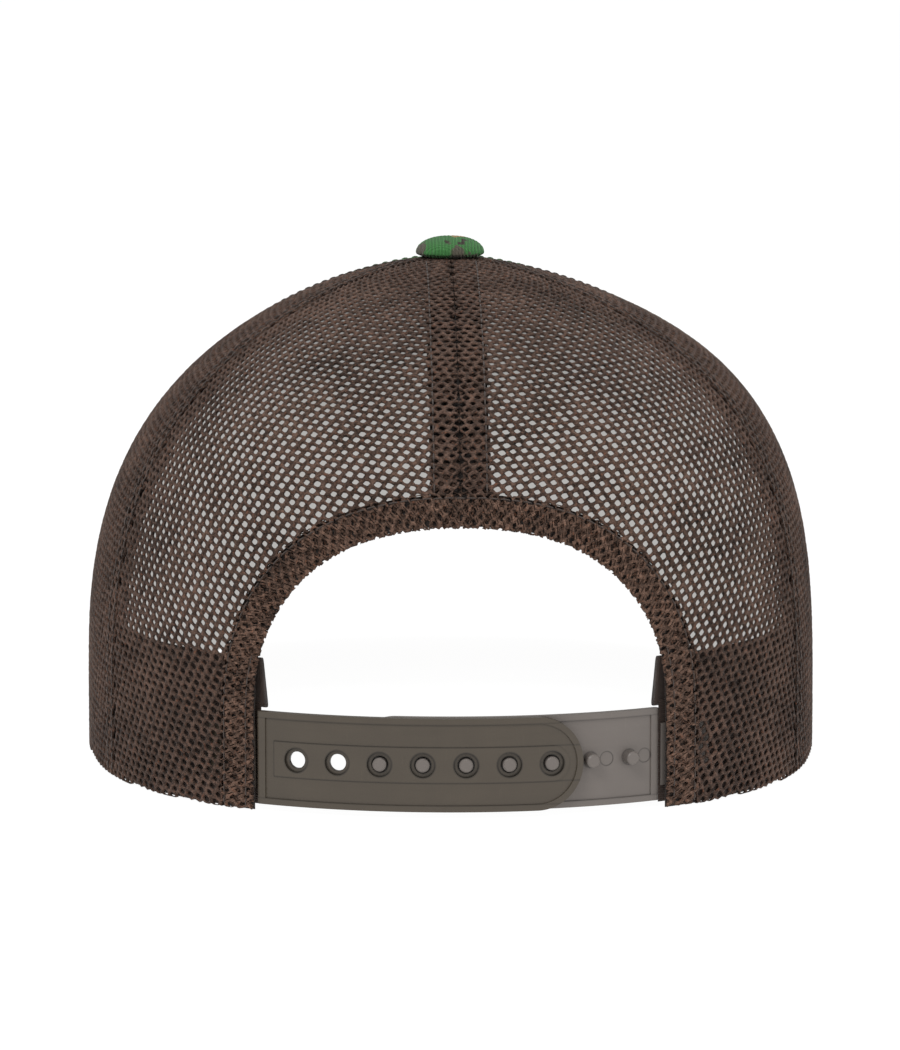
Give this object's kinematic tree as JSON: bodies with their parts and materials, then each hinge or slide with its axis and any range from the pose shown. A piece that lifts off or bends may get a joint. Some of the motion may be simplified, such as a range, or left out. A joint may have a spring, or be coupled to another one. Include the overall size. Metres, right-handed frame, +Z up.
{
  "type": "trucker cap",
  "caption": "Structured trucker cap with mesh side and rear panels, a curved visor, a covered button and an adjustable snap strap across an arched rear opening.",
  "frame": {"origin": "middle of the head opening, on the surface that the cap rests on", "axes": "+Z up through the button, -Y along the visor, +X the wearer's left"},
  "size_m": [0.1772, 0.2601, 0.1226],
  "materials": {
    "mesh": "matte",
    "camo_twill": "matte",
    "buckram": "matte",
    "tape": "matte",
    "sweatband": "matte",
    "foam": "matte",
    "under_twill": "matte",
    "board": "matte",
    "steel": "satin",
    "strap_holes": "satin",
    "strap_pegs": "satin"
  },
  "bodies": {
    "crown": {"rear_mesh_left": "mesh", "rear_mesh_right": "mesh", "side_mesh_left": "mesh", "side_mesh_right": "mesh", "front_panel_left": "camo_twill", "front_panel_right": "camo_twill", "buckram_left": "buckram", "buckram_right": "buckram", "centre_seam_tape": "tape", "front_seam_tape_left": "tape", "front_seam_tape_right": "tape", "rear_seam_tape_left": "tape", "rear_seam_tape_right": "tape", "opening_facing": "mesh", "opening_tape": "tape", "sweatband": "sweatband", "sweatband_foam": "foam", "visor_board": "board", "visor_top_cover": "camo_twill", "visor_under_cover": "under_twill", "button_cover": "camo_twill", "button_cap": "steel", "button_tack": "steel", "button_washer": "steel", "strap_tab_left": "strap_holes", "strap_tab_right": "strap_pegs"},
    "strap_holes_half": {"snap_strap_holes": "strap_holes"},
    "strap_pegs_half": {"snap_strap_pegs": "strap_pegs"}
  },
  "joints": [
    {"name": "strap_holes_hinge", "type": "hinge", "parent": "crown", "child": "strap_holes_half", "pos_m": [0.04453, 0.08472, 0.0119], "axis": [0, 0, -1], "range_deg": [0, 75]},
    {"name": "strap_pegs_hinge", "type": "hinge", "parent": "crown", "child": "strap_pegs_half", "pos_m": [-0.04367, 0.08314, 0.0119], "axis": [0, 0, -1], "range_deg": [0, 60]}
  ]
}
